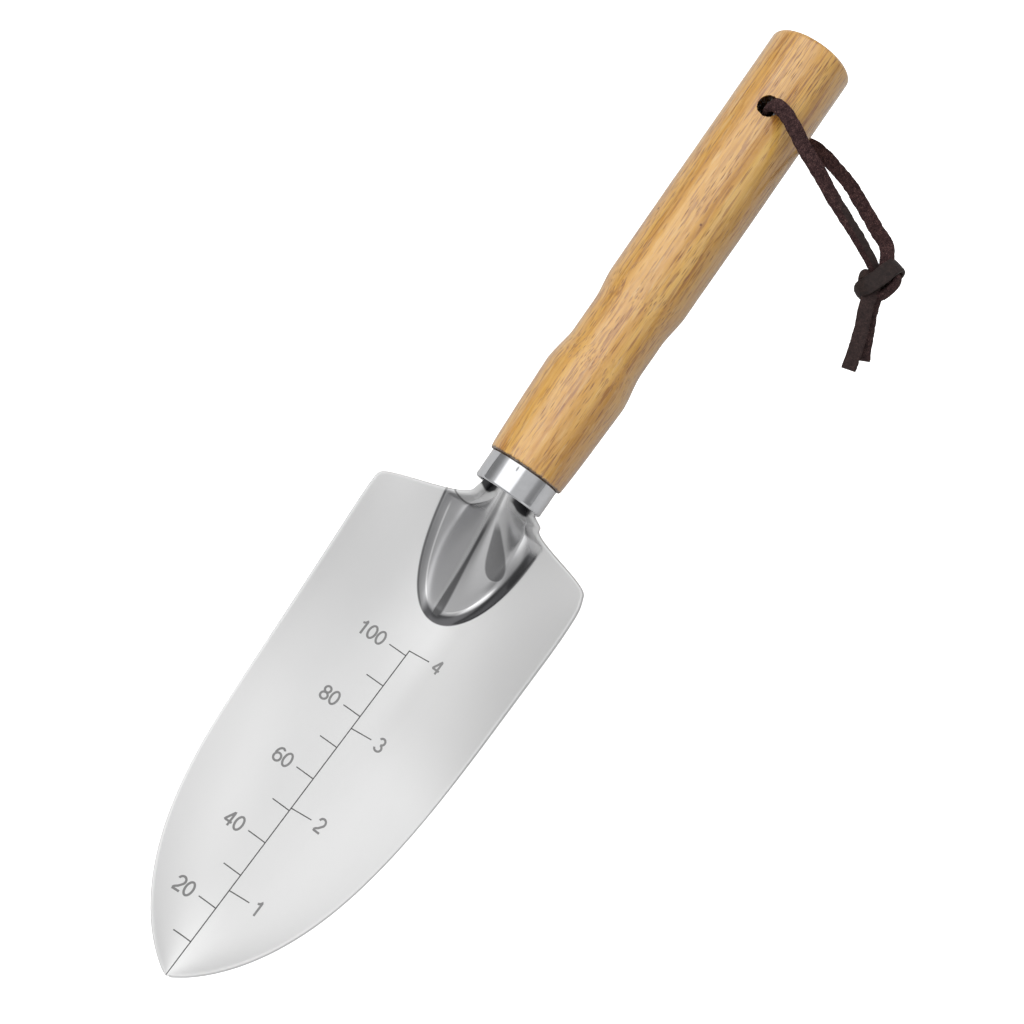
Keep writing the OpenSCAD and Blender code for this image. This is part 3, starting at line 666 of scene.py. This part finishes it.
# ------------------------------------------------------------------ handle
HX, HD = 21.55, 5.8
def turned_r(x):
    d = 133.1 - x
    return np.where(d > 57, mix(11.67, 11.75, ss((d - 57) / 30)),
           np.where(d > 47, mix(10.7, 11.67, ss((d - 47) / 10)),
           np.where(d > 38, 10.7,
           np.where(d > 27, mix(12.0, 10.7, ss((d - 27) / 11)),
                    10.8 + 1.2 * (np.maximum(d, 0) / 27) ** 0.62))))

def build_handle():
    er = 1.4
    prof = [(0, 0)] + [(0, r) for r in (3, 6, 9)]
    prof += [(er - er * math.sin(a), 11.75 - er + er * math.cos(a)) for a in np.linspace(math.pi / 2, 0, 12)]
    prof += [(x, float(turned_r(x))) for x in np.arange(2.0, 132.6, 0.5)]
    prof += [(132.85, 10.80), (133.02, 10.68), (133.1, 10.45), (133.1, 9.6), (133.1, 9.19)]
    prof += [(135, 9.19), (137.2, 9.19), (137.4, 9.0), (137.4, 6.2), (130, 6.2), (100, 6.2), (71.5, 6.2), (71.4, 0)]
    ob = lathe("handle_turned_wood", prof, 300, close=False)
    me = ob.data
    co = np.array([v.co for v in me.vertices]) / MM
    r = np.hypot(co[:, 1], co[:, 2]); ang = np.arctan2(co[:, 2], co[:, 1])
    out = (r > 10.2) & (co[:, 0] < 133.0)
    d = 0.05 * noise3(np.stack([co[:, 0] * 0.06, np.cos(ang) * 1.6 + 9, np.sin(ang) * 1.6 + 9], -1), 11)
    d = d + 0.02 * noise3(np.stack([co[:, 0] * 0.3, np.cos(ang) * 5 + 9, np.sin(ang) * 5 + 9], -1), 12)
    # the turned shoulder is a little torn where it meets the ferrule
    tear = ss((co[:, 0] - 132.2) / 0.9) * (0.16 * np.abs(noise3(np.stack([ang * 0 + 1, np.cos(ang) * 22, np.sin(ang) * 22], -1), 21)))
    s = 1 + np.where(out, (d - tear) / np.maximum(r, 1), 0)
    co[:, 1] *= s; co[:, 2] *= s
    rim = (co[:, 0] > 132.8) & (co[:, 0] < 133.2) & (r > 9.5)
    co[:, 0] -= np.where(rim, 0.22 * np.abs(noise3(np.stack([ang * 0 + 4, np.cos(ang) * 26, np.sin(ang) * 26], -1), 22)), 0)
    me.vertices.foreach_set("co", (co * MM).ravel())
    # ragged drilled hole
    n, zs = 96, np.linspace(-16, 16, 60)
    cv, cf = [], []
    for i, z in enumerate(zs):
        for k in range(n):
            a = 2 * math.pi * k / n
            rr = HD / 2 + 0.11 * noise3(np.array([math.cos(a) * 7 + 3, math.sin(a) * 7 + 3, z * 0.25]), 31) + 0.05 * noise3(np.array([math.cos(a) * 19, math.sin(a) * 19, z * 0.8]), 32)
            cv.append(((HX + rr * math.cos(a)) * MM, rr * math.sin(a) * MM, z * MM))
    for i in range(len(zs) - 1):
        for k in range(n):
            l = (k + 1) % n
            cf.append((i * n + k, i * n + l, (i + 1) * n + l, (i + 1) * n + k))
    cf.append(tuple(range(n - 1, -1, -1))); cf.append(tuple((len(zs) - 1) * n + k for k in range(n)))
    cut = new_mesh_object("hole_cutter", cv, cf)
    fix_normals(cut)
    mod = ob.modifiers.new("hole", "BOOLEAN")
    mod.operation = "DIFFERENCE"; mod.object = cut; mod.solver = "EXACT"
    dg = bpy.context.evaluated_depsgraph_get()
    me2 = bpy.data.meshes.new_from_object(ob.evaluated_get(dg))
    ob.modifiers.clear()
    ob.data = me2
    bpy.data.objects.remove(cut)
    me2.polygons.foreach_set("use_smooth", [True] * len(me2.polygons))
    sharpen(ob, 38)
    c2 = np.array([v.co for v in me2.vertices]) / MM
    inhole = (np.hypot(c2[:, 0] - HX, c2[:, 1]) < 3.25) & (np.hypot(c2[:, 1], c2[:, 2]) < 11.2)
    at = me2.attributes.new("hole_dark", "FLOAT", "POINT")
    at.data.foreach_set("value", inhole.astype(np.float32))
    return ob
handle = build_handle()
set_material(handle, WOOD)
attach(handle, "trowel"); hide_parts("handle")

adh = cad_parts["tang_adhesive"]
set_material(adh, RESIN)

# ------------------------------------------------------------------ thong: flat suede lace swept along paths
def catmull(pts, per=12):
    p = np.array(pts, float)
    p = np.vstack([2 * p[0] - p[1], p, 2 * p[-1] - p[-2]])
    out = []
    for i in range(1, len(p) - 2):
        for k in range(per):
            t = k / per
            a, b, c, d = p[i - 1], p[i], p[i + 1], p[i + 2]
            out.append(0.5 * ((2 * b) + (-a + c) * t + (2 * a - 5 * b + 4 * c - d) * t * t + (-a + 3 * b - 3 * c + d) * t ** 3))
    out.append(p[-2])
    return np.array(out)

def lace(name, pts, nrms, w=3.7, t=1.5, seed=0, smooth_side=0.0, per=14, taper=None, ragged=0.07, grain=None):
    """pts: key points in mm; nrms: outward flat-side normals at the key points."""
    path = catmull(pts, per)
    nr = catmull(nrms, per)
    d = np.concatenate([[0], np.cumsum(np.linalg.norm(np.diff(path, axis=0), axis=1))])
    n = max(8, int(d[-1] / 0.2))
    s = np.linspace(0, d[-1], n)
    P = np.stack([np.interp(s, d, path[:, k]) for k in range(3)], -1)
    N = np.stack([np.interp(s, d, nr[:, k]) for k in range(3)], -1)
    for _ in range(6):                                   # ease the twist
        N[1:-1] = (N[:-2] + 2 * N[1:-1] + N[2:]) / 4
    T = np.gradient(P, axis=0); T /= np.linalg.norm(T, axis=1, keepdims=True)
    for _ in range(4):
        T[1:-1] = (T[:-2] + 2 * T[1:-1] + T[2:]) / 4
    T /= np.linalg.norm(T, axis=1, keepdims=True)
    N = N - (N * T).sum(1, keepdims=True) * T; N /= np.linalg.norm(N, axis=1, keepdims=True)
    B = np.cross(T, N)
    # section: flat strip with softly rounded cut edges
    sec = []
    k = 16
    for u in np.linspace(-1, 1, k): sec.append((u, 1))
    for a in (62, 36, 12, -12, -36, -62): sec.append((1.0, math.sin(math.radians(a))))
    for u in np.linspace(1, -1, k): sec.append((u, -1))
    for a in (-62, -36, -12, 12, 36, 62): sec.append((-1.0, math.sin(math.radians(a))))
    m = len(sec)
    W = np.full(n, float(w)); Tt = np.full(n, float(t))
    if taper is not None:
        W = W * np.interp(s / d[-1], taper[0], taper[1])
    cup = 0.16 * noise3(np.stack([s * 0.14, np.full(n, 2.0), np.full(n, seed * 1.7)], -1), 51) + 0.08     # the strip cups slightly along its length
    verts = np.zeros((n, m, 3)); gr = np.zeros((n, m))
    for j, (u, v) in enumerate(sec):
        edge = 0.93 + 0.07 * math.sqrt(max(0, 1 - v * v))
        crown = 1 - 0.14 * abs(u) ** 4
        side = 3.0 if u > 0 else -3.0
        nz = noise3(np.stack([s * 0.7, np.full(n, side), np.full(n, seed * 3.1)], -1), 41)
        nz2 = noise3(np.stack([s * 3.4, np.full(n, side + v * 0.5), np.full(n, seed * 3.1)], -1), 42)
        nib = np.maximum(0, noise3(np.stack([s * 1.9, np.full(n, side * 2), np.full(n, seed * 2.3)], -1), 45) - 0.62) / 0.38
        rag = (nz * ragged * 1.6 + nz2 * ragged * 0.7 + nib * 0.26) * abs(u) ** 8
        x = (u * W / 2 * edge) + np.sign(u) * rag
        sf = noise3(np.stack([s * 2.6, np.full(n, u * w * 1.3), np.full(n, v * 2 + seed)], -1), 43) * 0.05 + noise3(np.stack([s * 7, np.full(n, u * w * 3.5), np.full(n, v * 2 + seed)], -1), 44) * 0.035
        h = v * Tt / 2 * crown + (sf if abs(v) > 0.9 else 0) - cup * (u * u - 0.3)
        verts[:, j] = P + B * x[:, None] + N * np.asarray(h)[:, None]
        g = smooth_side if v > -0.5 else smooth_side * 0.6
        gr[:, j] = g if grain is None else grain(s / d[-1], u, v)
    V = verts.reshape(-1, 3)
    F = []
    for i in range(n - 1):
        for j in range(m):
            l = (j + 1) % m
            F.append((i * m + j, i * m + l, (i + 1) * m + l, (i + 1) * m + j))
    F.append(tuple(range(m - 1, -1, -1)))
    F.append(tuple((n - 1) * m + j for j in range(m)))
    ob = new_mesh_object(name, V * MM, F)
    fix_normals(ob)
    sharpen(ob, 50)
    at = ob.data.attributes.new("grain", "FLOAT", "POINT")
    at.data.foreach_set("value", gr.reshape(-1).astype(np.float32))
    set_material(ob, LEATHER)
    return ob

# one strip: through the cross hole, its front strand on the upper side and its rear strand under the handle
front = [(21.55, 0, 0), (21.55, 0, 6), (21.5, 0.1, 10.4), (21.3, 0.6, 12.4), (20.9, 2.2, 13.5), (21.9, 5.6, 13.95), (24.3, 10.0, 14.0), (26.9, 14.6, 13.5), (29.6, 20.5, 12.3), (32.2, 26.0, 10.5), (34.4, 31.35, 8.5), (36.3, 36.9, 5.9), (38.0, 41.2, 3.4), (39.3, 44.4, 1.4), (40.6, 47.0, 0.0), (43.0, 48.6, -0.3)]
fn = [(-0.1, -1, 0), (-0.1, -1, 0), (-0.12, -1, 0.25), (-0.3, -0.8, 0.7), (-0.25, -0.3, 1), (0, 0, 1), (0, 0.05, 1), (0, 0.15, 1), (0, 0.3, 1), (0.1, 0.4, 1), (0.3, 0.4, 1), (0.55, 0.3, 1), (0.75, 0.2, 1), (0.6, 0.1, 1), (0.3, 0.1, 1), (0, 0.1, 1)]
rear = [(21.55, 0, 0), (21.55, 0, -6), (21.4, 0.1, -10.4), (21.0, 0.8, -12.5), (19.9, 2.4, -13.5), (17.3, 6.4, -14.0), (15.6, 11.2, -13.9), (16.3, 15.8, -13.4), (18.2, 21.15, -12.3), (20.5, 26.5, -10.6), (23.6, 31.4, -8.4), (26.7, 35.95, -5.8), (29.8, 40.3, -3.2), (32.0, 43.7, -0.9), (35.0, 45.9, 0.7), (38.4, 47.5, 1.3), (41.5, 48.8, 0.9)]
rn = [(-0.1, -1, 0), (-0.1, -1, 0), (0.1, -1, -0.25), (0.25, -0.7, -0.75), (0.2, -0.3, -1), (0, 0, -1), (0, 0.1, -1), (0, 0.2, -1), (0, 0.3, -1), (-0.15, 0.3, -1), (-0.25, 0.3, -1), (-0.3, 0.3, -1), (-0.2, 0.3, -1), (-0.1, 0.2, -1), (0, 0.1, -1), (0, 0, -1), (0, 0, -1)]
loop_pts = list(reversed(rear))[:-1] + front
loop_nrm = list(reversed(rn))[:-1] + fn
def loop_grain(f, u, v):
    return ss((f - 0.80) / 0.06) * (0.9 if (u < -0.05 or v < -0.5) else 0.15)
loop = lace("thong_strands", loop_pts, loop_nrm, seed=1, taper=([0, 0.04, 0.12, 0.5, 0.72, 0.86, 0.94, 1.0], [0.9, 1.0, 1.0, 1.0, 1.03, 0.92, 0.82, 0.8]), grain=loop_grain)
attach(loop, "thong"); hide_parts("thong_loop")

# the knot, as the strip really lies: a broad turn over the front, a turn tucked under it, and the pass that becomes the tails
KC = np.array([41.4, 48.0, 0.2])
def turn(name, pts, seed, w, t=1.3, smooth_side=1.0, center=KC, taper=None, grain=None, lift=(0, 0, 0)):
    c = np.array(center, float)
    pts = [np.array(p, float) for p in pts]
    nr = []
    for i, p in enumerate(pts):
        a = pts[max(0, i - 1)]; b = pts[min(len(pts) - 1, i + 1)]
        t_ = b - a; t_ /= np.linalg.norm(t_)
        o = p - c; o = o - o.dot(t_) * t_ + np.array(lift)
        nr.append(o / max(1e-6, np.linalg.norm(o)))
    return lace(name, pts, nr, w=w, t=t, seed=seed, smooth_side=smooth_side, ragged=0.04, taper=taper, grain=grain, per=16)
bands = []
bands.append(turn("knot_front_turn", [(46.4, 48.3, -1.9), (47.3, 46.0, -0.9), (46.4, 45.2, 1.3), (44.9, 46.1, 2.85), (41.6, 47.6, 3.35), (37.9, 48.7, 2.85), (36.0, 49.4, 1.4), (35.9, 50.1, -0.5), (37.2, 50.0, -2.1), (40.7, 48.6, -2.5)], 5, 4.5, 1.15,
                  taper=([0, 0.2, 0.5, 0.8, 1], [0.85, 1.0, 1.04, 0.98, 0.85])))
bands.append(turn("knot_rear_turn", [(40.6, 46.9, 0.9), (41.6, 45.3, 1.35), (42.3, 43.9, 1.25), (43.2, 43.3, 0.2), (44.4, 44.6, -1.3), (44.9, 47.2, -2.3), (42.6, 49.6, -2.9), (39.0, 50.0, -2.6)], 6, 3.3, 1.15, smooth_side=0.85))
bands.append(turn("knot_under_turn", [(37.0, 46.2, -1.0), (36.9, 49.2, -0.2), (38.4, 51.4, 0.9), (40.3, 51.9, 1.0), (42.7, 51.4, 0.7), (44.6, 50.6, 0.3), (45.3, 49.2, -0.6), (43.8, 47.6, -1.6)], 7, 3.1, 1.2, smooth_side=0.15,
                  lift=(0, 0, 1.2)))
for o in bands:
    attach(o, "thong"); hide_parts("thong_knot")

def tail_grain(f, u, v): return 0.0 if (v < -0.5) else (0.72 if abs(v) > 0.9 else 0.3)
long_tail = lace("thong_tail_long", [(43.2, 47.3, 0.7), (45.8, 47.9, 1.0), (48.6, 48.6, 1.15), (51.6, 49.7, 1.2), (56.3, 51.5, 1.25), (60.8, 52.9, 1.2), (65.5, 54.1, 1.1)], [(-0.1, 0.1, 1), (0, 0.1, 1), (0, 0.05, 1), (0, 0, 1), (0, -0.05, 1), (0, 0, 1), (0, 0.05, 1)], w=3.75, t=1.25, seed=8, smooth_side=1.0, grain=tail_grain)
short_tail = lace("thong_tail_short", [(43.4, 48.6, -0.9), (45.6, 49.3, -1.0), (48.2, 50.1, -1.15), (51.7, 51.6, -1.25), (56.1, 53.6, -1.3), (61.0, 55.8, -1.15)], [(0, 0, 1)] * 6, w=3.5, t=1.2, seed=9, smooth_side=0.4)
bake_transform(long_tail)
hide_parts("thong_long_tail")
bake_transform(short_tail)
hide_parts("thong_short_tail")

# ------------------------------------------------------------------ floor, light, camera
fv = [(-1.5, -1.5, 0), (1.8, -1.5, 0), (1.8, 1.5, 0), (-1.5, 1.5, 0)]
floor = new_mesh_object("floor", [(x, y, -0.045) for x, y, _ in fv], [(0, 1, 2, 3)])
mf = Mat("pale_floor")
mf.set("Roughness", 0.9)
lpf = mf.n("ShaderNodeLightPath")
seen = mf.mixc(mf.noise(mf.coords((3, 3, 3)), 1.0, 2), lin(250, 250, 250), lin(252, 252, 252))
mf.link(mf.mixc(lpf.outputs["Is Camera Ray"], lin(212, 212, 212), seen), mf.b.inputs["Base Color"])
mf.b.inputs["Emission Color"].default_value = (1, 1, 1, 1)
mf.link(mf.math("MULTIPLY", lpf.outputs["Is Camera Ray"], 0.80), mf.b.inputs["Emission Strength"])
set_material(floor, mf.m)

# studio tent: a broad soft light over the tool towards -Y, grey walls, a dark opening low on the -Y side
SOFTBOX = 0.90
world = bpy.data.worlds.new("studio")
scene.world = world
world.use_nodes = True
wt = world.node_tree; wt.nodes.clear()
class Tree(Mat):
    def __init__(self, tree): self.t = tree
wn = Tree(wt)
wo = wn.n("ShaderNodeOutputWorld"); bg = wn.n("ShaderNodeBackground")
wn.link(bg.outputs[0], wo.inputs[0])
tc = wn.n("ShaderNodeTexCoord"); sep = wn.n("ShaderNodeSeparateXYZ")
wn.link(tc.outputs["Generated"], sep.inputs[0])
X, Y, Z = sep.outputs
def sstep(v, a, b):
    nd = wn.n("ShaderNodeMapRange", interpolation_type="SMOOTHSTEP")
    lo, hi = (a, b) if a < b else (b, a)
    wn.link(v, nd.inputs[0]); nd.inputs[1].default_value = lo; nd.inputs[2].default_value = hi
    nd.inputs[3].default_value = 0.0 if a < b else 1.0
    nd.inputs[4].default_value = 1.0 if a < b else 0.0
    return nd.outputs[0]
M_ = wn.math
zc = M_("MAXIMUM", Z, 0.05)
U = M_("DIVIDE", X, zc); V = M_("DIVIDE", Y, zc)
box_ = M_("MULTIPLY", M_("MULTIPLY", sstep(U, -1.25, -0.85), sstep(U, 0.75, 0.35)), M_("MULTIPLY", sstep(V, -1.35, -0.95), sstep(V, 0.26, 0.12)))
box_ = M_("MULTIPLY", box_, sstep(Z, 0.2, 0.3))
wall = wn.ramp(Z, [(0.0, (0.46,) * 3), (0.25, (0.49,) * 3), (0.5, (0.60,) * 3), (0.8, (0.64,) * 3), (1.0, (0.64,) * 3)])
dl = M_("ADD", M_("MULTIPLY", X, 0.55), M_("MULTIPLY", Y, 0.83))
w1 = M_("MULTIPLY_ADD", sstep(dl, 0.85, 0.97), 0.32, wall)
w1 = M_("MULTIPLY", w1, M_("SUBTRACT", 1.0, M_("MULTIPLY", sstep(M_("MULTIPLY", Y, -1.0), 0.80, 0.94), 0.45)))
w1 = M_("MULTIPLY", w1, M_("SUBTRACT", 1.0, M_("MULTIPLY", M_("MULTIPLY", sstep(X, 0.74, 0.88), sstep(Z, 0.22, 0.34)), M_("MULTIPLY", sstep(Z, 0.62, 0.50), 0.55))))
w1 = M_("MULTIPLY_ADD", M_("MULTIPLY", sstep(X, 0.7, 0.9), sstep(Z, 0.25, 0.1)), 0.18, w1)
w1 = M_("MULTIPLY", w1, M_("SUBTRACT", 1.0, M_("MULTIPLY", M_("MULTIPLY", sstep(Y, 0.80, 0.92), sstep(Y, 1.02, 0.97)), M_("MULTIPLY", sstep(X, 0.45, 0.25), 0.42))))
tot = M_("MULTIPLY_ADD", box_, SOFTBOX, w1)
lp = wn.n("ShaderNodeLightPath")
see = wn.n("ShaderNodeMix", data_type="FLOAT")
wn.link(lp.outputs["Is Camera Ray"], see.inputs[0]); wn.link(tot, see.inputs[2]); see.inputs[3].default_value = 1.0
wn.link(see.outputs[0], bg.inputs[1])
bg.inputs[0].default_value = (1, 1, 1, 1)

def area(name, loc, target, size, size_y, power, color=(1, 1, 1)):
    l = bpy.data.lights.new(name, "AREA"); l.shape = "RECTANGLE"; l.size = size; l.size_y = size_y
    l.energy = power; l.color = color
    o = bpy.data.objects.new(name, l); scene.collection.objects.link(o)
    o.location = loc
    o.rotation_euler = (Vector(target) - Vector(loc)).to_track_quat("-Z", "Y").to_euler()
    o.visible_glossy = False
    return o
area("key_softbox", (0.1, -0.55, 0.75), (0.14, 0, 0), 0.7, 0.5, 1.6, (1.0, 0.99, 0.97))

cam_data = bpy.data.cameras.new("camera"); cam = bpy.data.objects.new("camera", cam_data)
scene.collection.objects.link(cam)
th, ta, ro, tx, ty, D, K = 0.96389, 0.05229, -0.1735, 3.35882, 10.76143, 420.08565, 3.85617
def rx(a): c, s = math.cos(a), math.sin(a); return np.array([[1, 0, 0], [0, c, -s], [0, s, c]])
def ry(a): c, s = math.cos(a), math.sin(a); return np.array([[c, 0, s], [0, 1, 0], [-s, 0, c]])
def rz(a): c, s = math.cos(a), math.sin(a); return np.array([[c, -s, 0], [s, c, 0], [0, 0, 1]])
R = rz(th) @ ry(ta) @ rx(ro)
Mr = np.diag([-1.0, -1.0, 1.0])
pos = Mr @ (R.T @ (np.array([0, 0, D]) - np.array([tx, ty, 0])) - np.array([133.1, 0, 0]))
rot = Mr @ R.T
mw = Matrix.Identity(4)
for i in range(3):
    for j in range(3): mw[i][j] = rot[i, j]
    mw[i][3] = pos[i] * MM
cam.matrix_world = mw
cam_data.sensor_fit = "HORIZONTAL"; cam_data.sensor_width = 36.0
cam_data.lens = K * D * 36.0 / 1024.0
cam_data.clip_start = 0.01; cam_data.clip_end = 10
scene.camera = cam
scene.view_settings.view_transform = "Standard"
scene.view_settings.look = "None"
